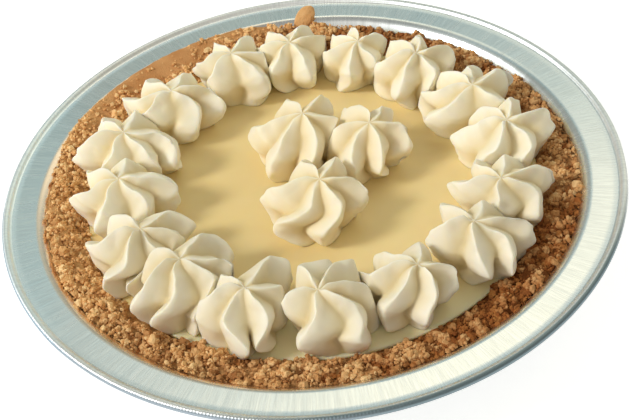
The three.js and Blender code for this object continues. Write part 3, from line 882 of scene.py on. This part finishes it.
def wrinkle_foil(rings):
    """Tilts the flange, presses ribs into it and pleats into the wall, and bends the rim a little."""
    radius, bearing = polar(rings)
    on_flange = band(radius, FLANGE_BAND)
    profile_slope = (FLANGE_OUTER_Z - WALL_TOP_Z) / (FLANGE_FLAT_TO - FLANGE_FLAT_FROM)
    from_middle = np.maximum(radius, FLANGE_INNER_RADIUS - 1) - FLANGE_MIDDLE_RADIUS
    rings[..., 2] -= from_middle * (profile_slope - math.tan(FLANGE_SLOPE)) * on_flange
    fine = lerp(FINE_DEPTH, RIB_DEPTH, near_bearing(bearing, *RIBBED)) * foil_noise(rings, FINE_WAVES, seed=3)
    broad = BROAD_DEPTH * foil_noise(rings, BROAD_WAVES, seed=5)
    rings[..., 2] += on_flange * (fine + broad)
    pleats = band(radius, WALL_BAND) * PLEAT_DEPTH * foil_noise(rings, PLEAT_WAVES, seed=8)
    wobble = np.abs(foil_noise(rings, WOBBLE_WAVES, seed=11))
    drawn_in = smoothstep(*WOBBLE_RADII, radius) * WOBBLE_DEPTH * wobble
    set_radius(rings, radius + pleats - drawn_in)


def make_pan():
    """The pan as one closed sheet of foil, with a flange that isn't quite level."""
    outside, bead, inside = pan_profile()
    rings = revolve(outside + bead + inside, PAN_COLUMNS)
    wrinkle_foil(rings)
    points, faces = closed_rings((0, 0, 0), rings, (0, 0, FOIL))
    piece = make_piece("pan_foil", points, faces, FOIL_LOOK, replaces=["pan"])
    is_outside = np.arange(len(rings)) < len(outside)
    add_attribute(piece, "outside", np.repeat(is_outside, PAN_COLUMNS), poles=(1, 0))


# Crust


def crust_inner(bearing):
    """Where the crumbs meet the custard, which wanders."""
    round_it = from_polar(1.0, bearing, 0 * bearing)
    wander = INNER_WANDER * noise(round_it * INNER_WAVES, seed=21)
    nibbles = NIBBLE_DEPTH * noise(round_it * NIBBLE_WAVES, seed=22)
    return CRUST_INNER_RADIUS + wander + nibbles


def baked(bearing):
    """How smooth and high the crust is at a bearing: it is baked on to the flange at the back left."""
    return near_bearing(bearing, *BAKED)


def toasted_and_shaded(bearing):
    """How dark the crust is at a bearing: browning and painted shadow, darker in front and at the right."""
    return np.interp(bearing % 360, *zip(*TOAST_AND_SHADOW))


def filled(bearing):
    """How near the crust comes to the flange: it reaches it from the back round to the left."""
    return band(bearing % 360, FILLED_BAND)


def lipped(bearing):
    """Where the crust runs on over the pan's shoulder, at the back left."""
    return band(bearing % 360, LIPPED_BAND)


def clumping(points):
    """Where the crumbs are heaped and where they leave hollows, from -1 to 1."""
    heaped = CLUMP_SHARE * noise(points / CLUMP, seed=31) + NUGGET_SHARE * noise(points / NUGGET, seed=32)
    return np.clip(heaped, -1, 1)


def crust_height(radius, bearing):
    """Height of the crumbs' general level."""
    share = np.clip((radius - SLOPE_FROM) / SLOPE_WIDTH, 0, 1)
    level = CRUST_TOP_Z - SLOPE_FALL * (1 - share) ** SLOPE_CURVE
    level = level + FILLED_RISE * filled(bearing) * share
    level = level - DIP_DEPTH * near_bearing(bearing, *DIPPED) * share
    rough = 1 - BAKED_SMOOTHNESS * baked(bearing) * smoothstep(*BAKED_SPAN, share)
    level = level + rough * CLUMP_HEIGHT * clumping(from_polar(radius, bearing, 0 * radius))
    inner = crust_inner(bearing)
    edge = smoothstep(inner - INNER_EDGE_HALF, inner + INNER_EDGE_HALF, radius)
    return lerp(CUSTARD_TOP_Z - INNER_EDGE_SUNK, level, edge)


def shoulder_height(radius):
    """Height of the foil's upper face, from the top of the wall out to the bead."""
    return np.interp(radius, *zip(*SHOULDER))


def keep_in_pan(points):
    """Presses crumbs flat where they would go through the pan's wall or its flange."""
    radius = np.hypot(points[..., 0], points[..., 1])
    wall = wall_radius(points[..., 2])
    through = radius > wall
    high = points[..., 2] > SHOULDER_FOOT_Z
    lifted = np.maximum(points[..., 2], shoulder_height(radius))
    points[..., 2] = np.where(through & high, lifted, points[..., 2])
    set_radius(points, np.where(through & ~high, wall, radius))


def lay_lip(rings, first, share):
    """Draws the outermost crumbs out over the pan's shoulder, where the crust reaches the flange."""
    wander = noise(rings[first] * LIP_WAVES, seed=36)
    for row, (radius, height) in enumerate(LIP):
        ring = rings[first + row]
        out = lerp(np.hypot(ring[:, 0], ring[:, 1]), radius + LIP_WANDER * wander * (row > 0), share)
        ring[:, 2] = lerp(ring[:, 2], height + LIP_ROUGHNESS * wander * (row > 2), share)
        set_radius(ring, out)


def make_crust():
    """The crust's body: a bowl under the custard, with a craggy crown that carries the loose crumbs."""
    under = [(radius, CRUST_FOOT_Z) for radius in CRUST_RING_RADII]
    under += [(wall_radius(z) - CRUST_WALL_GAP, z) for z in CRUST_WALL_RINGS_Z]
    crown_radii = np.linspace(CRUST_OUTER_RADIUS, CROWN_INNER_RADIUS, CROWN_ROWS)
    top = [(radius, CROWN_LEVEL_Z) for radius in crown_radii]
    inside = [CROWN_FOOT, *((radius, CRUST_FLOOR_Z) for radius in CRUST_BOWL_RADII)]
    rings = revolve(under + top + inside, CRUST_COLUMNS)
    radius, bearing = polar(rings)
    smooth_edge = baked(bearing) * smoothstep(*BAKED_RADII, radius)

    rows = slice(len(under), len(under) + len(top))
    crown = rings[rows]
    height = crust_height(radius[rows], bearing[rows]) - CROWN_SUNK
    rounded = smoothstep(ROUNDED_FROM, CRUST_OUTER_RADIUS, radius[rows])
    rounded *= 1 - FILLED_SQUARENESS * filled(bearing[rows])
    grains = noise(crown / CROWN_GRAIN, seed=33) * CROWN_GRAIN_DEPTH
    crown[..., 2] = height - CROWN_ROUNDING * rounded + grains * (1 - smooth_edge[rows])
    set_radius(crown, np.minimum(radius[rows], wall_radius(crown[..., 2]) - CROWN_WALL_GAP))
    lay_lip(rings, len(under), lipped(bearing[0]))
    keep_in_pan(crown)

    points, faces = closed_rings((0, 0, CRUST_FOOT_Z), rings, (0, 0, CRUST_FLOOR_Z))
    piece = make_piece("crust_core", points, faces, CORE_LOOK, replaces=["crust"])
    holes = smoothstep(*HOLE_SPAN, noise(rings / HOLE_WIDTH, seed=34))
    holes *= smoothstep(*HOLE_RADII, radius)
    add_attribute(piece, "pressed", smooth_edge * (1 - holes), poles=(0, 0))
    # Darker by bearing: partly browning, partly painted shadow of the swirls
    add_attribute(piece, "toast_and_shade", toasted_and_shaded(bearing), poles=(0, 0))


def make_flake():
    """A browned tongue of crust that leans out over the flange at the back."""
    ball, triangles = icosphere(FLAKE_LEVELS)
    length = np.linalg.norm(FLAKE_TIP - FLAKE_FOOT)
    along = (FLAKE_TIP - FLAKE_FOOT) / length
    middle = (FLAKE_FOOT + FLAKE_TIP) / 2
    shaped = ball * np.array([FLAKE_HALF_WIDTH, length / 2, FLAKE_HALF_THICKNESS])
    lumps = FLAKE_LUMP_DEPTH * noise(ball * FLAKE_LUMP_WAVES, seed=35)
    grain = FLAKE_GRAIN_DEPTH * noise(ball * FLAKE_GRAIN_WAVES, seed=37)
    shaped += (lumps + grain)[:, None] * ball
    across, upwards, thickness = shaped.T
    across = across * (1 + FLAKE_FLARE * ball[:, 1]) - FLAKE_SKEW * upwards
    radius = middle[0] + upwards * along[0] + thickness * along[1]
    height = middle[1] + upwards * along[1] - thickness * along[0]
    out = np.array([math.cos(FLAKE_BEARING), math.sin(FLAKE_BEARING)])
    side = np.array([-out[1], out[0]])
    points = np.column_stack([radius[:, None] * out + across[:, None] * side, height])
    piece = make_piece("crust_flake", points, triangles.tolist(), CRUMB_LOOK)
    add_attribute(piece, "pressed", np.full(len(points), FLAKE_PRESSED))
    # Darker towards the flake's foot
    add_attribute(piece, "toast_and_shade", FLAKE_FOOT_DARKENING * smoothstep(*FLAKE_FOOT_DARKENING_SPAN, upwards))


def scatter(rng, count, clumps):
    """Bearings, shares of the way across the crust and heights in a heap, for each crumb."""
    bearing = rng.uniform(-180, 180, count)
    across = rng.uniform(0, 1, count)
    heap = np.zeros(count)
    if clumps:
        home = rng.integers(0, clumps, count)
        bearing = rng.uniform(-180, 180, clumps)[home] + rng.normal(0, CLUMP_SPREAD, count)
        across = rng.uniform(0, 1, clumps)[home] + rng.normal(0, CLUMP_SPREAD_ACROSS, count)
        across = np.clip(across, 0, 1)
        heap = rng.uniform(0, HEAP_HEIGHT, clumps)[home] * rng.uniform(0, 1, count)
    return bearing, across, heap


def rest_on_crust(radius, bearing, size, rise):
    """Radius and height of crumbs that lie on the crust, its lip or the pan's shoulder."""
    lip = lipped(bearing)
    height = crust_height(radius, bearing) + rise
    height = np.maximum(height, lerp(0, LIP_TOP_Z, lip * smoothstep(*ON_LIP_RADII, radius)))
    radius = np.minimum(radius, lerp(wall_radius(height) - CRUMB_CLEARANCE * size, LIP_REACH, lip))
    on_shoulder = np.maximum(height, shoulder_height(radius) + CRUMB_CLEARANCE * size)
    return radius, np.where(radius > wall_radius(height), on_shoulder, height)


def crumb_toast_and_shade(middles, bearing, settling, heap):
    """How dark each crumb is: painted shade in the hollows, with the bearing's browning and painted shadow.
    """
    clump = clumping(middles * np.array([1, 1, 0]))
    low = LOWNESS - RAISED_BY_SETTLING * settling - RAISED_BY_HEAP * heap - RAISED_BY_CLUMP * clump
    here = toasted_and_shaded(bearing)
    # Painted shade on crumbs that lie low in the hollows
    in_hollow = np.clip(low, 0, 1) * (HOLLOW_SHADE + HOLLOW_SHADE_GAIN * here)
    return np.clip(in_hollow + TOAST_AND_SHADOW_BY_BEARING * here - TOAST_AND_SHADE_LESS, 0, 1)


def make_crumbs(name, count, sizes, levels, lift, seed, clumps):
    """One kind of loose crumb, settled on the crust. Few lie where it is baked smooth."""
    rng = np.random.default_rng(seed)
    ball, triangles = icosphere(levels)
    bearing, across, heap = scatter(rng, count, clumps)
    size = lerp(*sizes, rng.uniform(0, 1, count) ** MOSTLY_SMALL)
    inner = crust_inner(bearing) - INNER_OVERLAP
    outer = lerp(CRUST_OUTER_RADIUS, LIP_REACH - LIP_MARGIN, lipped(bearing))
    radius = np.sqrt(lerp(inner**2, outer**2, across))
    smooth_edge = baked(bearing) * smoothstep(*SWEPT_RADII, radius)
    kept = rng.uniform(0, 1, count) > SWEPT_SHARE * smooth_edge
    bearing, radius, size, heap = bearing[kept], radius[kept], size[kept], heap[kept]
    count = len(size)
    settling = rng.uniform(*CRUMB_SETTLING, count)
    radius, height = rest_on_crust(radius, bearing, size, size * lift * settling + heap - CRUMB_SUNK)
    stretch = rng.uniform(*CRUMB_STRETCH, (count, 1, 3)) * size[:, None, None] / 2
    bumps = rng.uniform(*CRUMB_BUMPS, (count, len(ball), 1))
    shapes = np.einsum("nij,nvj->nvi", random_turns(count, rng), ball[None] * bumps * stretch)
    middles = from_polar(radius, bearing, height)
    points = (shapes + middles[:, None]).reshape(-1, 3)
    keep_in_pan(points)
    faces = (triangles[None] + np.arange(count)[:, None, None] * len(ball)).reshape(-1, 3)
    piece = make_piece(name, points, faces.tolist(), CRUMB_LOOK, smooth=False)
    add_attribute(piece, "toast_and_shade", np.repeat(crumb_toast_and_shade(middles, bearing, settling, heap), len(ball)))
    add_attribute(piece, "pressed", np.zeros(len(points)))


# Custard


def make_custard():
    """The filling, with faint waves in its top and an edge that rises a little against the crust."""
    top = [(radius, CUSTARD_TOP_Z) for radius in np.linspace(*CUSTARD_TOP_RADII, CUSTARD_ROWS)]
    rings = revolve(CUSTARD_SIDES + top, CUSTARD_COLUMNS)
    surface = rings[len(CUSTARD_SIDES):]
    waves = noise(surface / CUSTARD_WAVE, seed=41) * CUSTARD_WAVE_DEPTH
    waves += noise(surface / CUSTARD_RIPPLE, seed=42) * CUSTARD_RIPPLE_DEPTH
    radius, _ = polar(surface)
    surface[..., 2] += waves + CUSTARD_EDGE_RISE * smoothstep(*CUSTARD_EDGE, radius)
    points, faces = closed_rings((0, 0, CUSTARD_FOOT_Z), rings, (0, 0, CUSTARD_TOP_Z))
    make_piece("custard_filling", points, faces, CUSTARD_LOOK, replaces=["custard"])


# Cream


def ridge_line(down):
    """Radius and height along a fin's ridge, as shares of the swirl's, from the tip to the foot."""
    angle = down * FOOT_ANGLE
    fall = np.cos(angle)
    above = BULGE_SHARE + (1 - BULGE_SHARE) * np.maximum(0, fall) ** FIN_SQUARENESS
    below = BULGE_SHARE * np.minimum(0, fall) / -math.cos(FOOT_ANGLE)
    tuck = 1 - TUCK * smoothstep(*TUCK_SPAN, down) + TUCK_RETURN * TUCK * smoothstep(*TUCK_RETURN_SPAN, down)
    return np.sin(angle) ** FIN_SQUARENESS * tuck, above + below


def groove_line(down):
    """The same along a groove, which spreads out again at the foot."""
    angle = np.minimum(down * FOOT_ANGLE, math.pi / 2)
    depth = 1 - GROOVE_DEEPENING * smoothstep(*GROOVE_SPAN, down)
    radius = GROOVE_SHARE * np.sin(angle) * depth + FOOT_FLARE * smoothstep(*FLARE_SPAN, down)
    return radius, 1 - down**GROOVE_FALL


def swirl_grid():
    """How far down each row is, and for each column its step round, its fin and its way to the next fin."""
    down = (np.arange(1, SWIRL_ROWS + 1) / SWIRL_ROWS)[:, None] ** ROW_CROWDING
    step = (np.arange(FINS * FIN_COLUMNS) / FIN_COLUMNS)[None, :]
    fin = np.floor(step).astype(int)
    across = step - fin
    across = across - RIDGE_CROWDING * np.sin(2 * np.pi * across) / (2 * np.pi)
    return down, step, fin, across


def by_fin(values, fin, share):
    """A value that belongs to each fin, changing from one fin to the next."""
    values = np.asarray(values, float)
    return lerp(values[fin], values[(fin + 1) % FINS], share)


def ridge_share(down, across):
    """From 0 in a groove to 1 on a ridge: the fins are blades near the tip and round petals lower down."""
    off = np.where(across < GROOVE_PLACE, across / GROOVE_PLACE, (1 - across) / (1 - GROOVE_PLACE))
    full = math.hypot(1, RIDGE_ROUNDING) - RIDGE_ROUNDING
    edge = (np.hypot(off, RIDGE_ROUNDING) - RIDGE_ROUNDING) / full
    tent = np.clip(1 - edge, 0, 1)
    blade = lerp(tent, tent**4, BLADE_SHARPNESS)
    petal = lerp(1 - edge**PETAL_ROUNDNESS, tent**3, PETAL_SHARPNESS)
    return lerp(blade, petal, smoothstep(*PETAL_SPAN, down))


def axis_at(swirl, z):
    """A swirl's axis at each height. It leans more towards the tip."""
    share = np.clip((z - CUSTARD_TOP_Z) / swirl["height"], 0, 1) ** 2
    return np.stack([swirl["x"] + swirl["lean"][0] * share, swirl["y"] + swirl["lean"][1] * share], axis=-1)


def press_together(rings, swirl, neighbours):
    """Flattens a swirl where it meets its neighbours."""
    for other in neighbours:
        own = axis_at(swirl, rings[..., 2])
        apart = axis_at(other, rings[..., 2]) - own
        distance = np.linalg.norm(apart, axis=-1)
        towards = apart / distance[..., None]
        reach = np.sum((rings[..., :2] - own) * towards, axis=-1)
        limit = distance * swirl["radius"] / (swirl["radius"] + other["radius"]) + PRESS_OVERLAP
        over = np.maximum(0, reach - limit + PRESS)
        pressed = np.minimum(reach, limit - PRESS) + PRESS * np.tanh(over / PRESS)
        rings[..., :2] += (pressed - reach)[..., None] * towards


def make_swirl(swirl, neighbours):
    """One swirl: six fins that sweep round from the tip to the foot, with deep grooves between them."""
    seed = swirl["seed"]
    rng = np.random.default_rng(seed)
    down, step, fin, across = swirl_grid()
    smooth = smoothstep(0, 1, across)
    long_fins = np.array(LONG_FINS.get(swirl["name"], [1] * FINS))
    reach = by_fin(rng.uniform(*FIN_REACH, FINS) * long_fins, fin, smooth)
    slim = by_fin(rng.uniform(*FIN_SLIMNESS, FINS) * np.array(FRONT_SLIMMING), fin, smooth)
    lift = by_fin(rng.uniform(*FIN_LIFT, FINS), fin, smooth)
    girth_bends, foot_bends = zip(*swirl["bends"])
    girth_turn = by_fin([*rng.uniform(*GIRTH_TURNS, FINS - 2), *girth_bends], fin, across)
    foot_turn = by_fin([*rng.uniform(*FOOT_TURNS, FINS - 2), *foot_bends], fin, across)
    wander = np.stack(np.broadcast_arrays(down * WAVES_DOWN, step, down * 0 + seed), axis=-1)

    share = ridge_share(down, across)
    ridge_radius, ridge_z = ridge_line(down)
    groove_radius, groove_z = groove_line(down)
    slim = lerp(slim, 1, smoothstep(*SLIM_SPAN, down))
    ragged = 1 + RAGGEDNESS * noise(wander * RAGGED_WAVES, seed=51)
    radius = lerp(groove_radius, ridge_radius * reach * slim * ragged, share)
    height = lerp(groove_z, ridge_z + lift * band(down, TIP_BAND), share)
    height = height - DIMPLE * (1 - smoothstep(*DIMPLE_SPAN, down))

    starts = np.array(swirl["fins"], float)
    gaps = (np.roll(starts, -1) - starts) % 360
    bearing = starts[fin] + gaps[fin] * across + SWING * smoothstep(*SWING_SPAN, down)
    bearing = bearing + (girth_turn - SWING) * smoothstep(*GIRTH_SPAN, down)
    bearing = bearing + (foot_turn - girth_turn) * smoothstep(*FOOT_SPAN, down)
    bearing = bearing + CHANCE_TURN * noise(wander, seed=52) * smoothstep(*CHANCE_SPAN, down)

    rings = from_polar(swirl["radius"] * radius, bearing, SWIRL_FOOT_Z + swirl["height"] * height)
    rings[..., :2] += axis_at(swirl, rings[..., 2])
    press_together(rings, swirl, neighbours)
    lumps = LUMP_DEPTH * noise_vectors(rings / LUMP + seed, seed=61)
    grain = GRAIN_DEPTH * noise_vectors(rings / GRAIN + seed, seed=64)
    rings += (lumps + grain) * smoothstep(*LUMPY_FROM, height)[..., None]
    rings[-1, :, 2] = SWIRL_FOOT_Z

    tip_z = CUSTARD_TOP_Z + swirl["height"] * (1 - DIMPLE)
    tip = (*axis_at(swirl, tip_z), tip_z)
    foot = (swirl["x"], swirl["y"], SWIRL_FOOT_Z)
    points, faces = closed_rings(foot, rings[::-1], tip)
    piece = make_piece(swirl["name"] + "_cream", points, faces, CREAM_LOOK, replaces=[swirl["name"]])
    add_attribute(piece, "ridge", share[::-1], poles=(0, TIP_RIDGE))


def make_swirls():
    rows = []
    for i, (bearing, out, *rest) in enumerate(BORDER):
        x, y, _ = from_polar(out, bearing, 0)
        rows.append((f"border_swirl_{i + 1:02d}", BORDER_SEED + i, x, y, *rest))
    for i, row in enumerate(CENTRE):
        rows.append((f"centre_swirl_{i + 1}", CENTRE_SEED + i, *row))
    swirls = []
    for name, seed, x, y, wide, tall, fins, lean, bends in rows:
        swirl = {"name": name, "seed": seed, "x": x, "y": y, "fins": fins, "lean": lean, "bends": bends}
        swirls.append({**swirl, "radius": SWIRL_ACROSS / 2 * wide, "height": SWIRL_HEIGHT * tall})
    for swirl in swirls:
        apart = [math.hypot(other["x"] - swirl["x"], other["y"] - swirl["y"]) for other in swirls]
        make_swirl(swirl, [other for other, gap in zip(swirls, apart) if 0 < gap < NEIGHBOUR_REACH])


make_camera()
make_stage()
make_light()
make_world()
make_pan()
make_crust()
for kind in CRUMB_KINDS:
    make_crumbs(*kind)
make_flake()
make_custard()
make_swirls()

scene = bpy.context.scene
scene.view_settings.view_transform = "Standard"
scene.view_settings.look = "None"
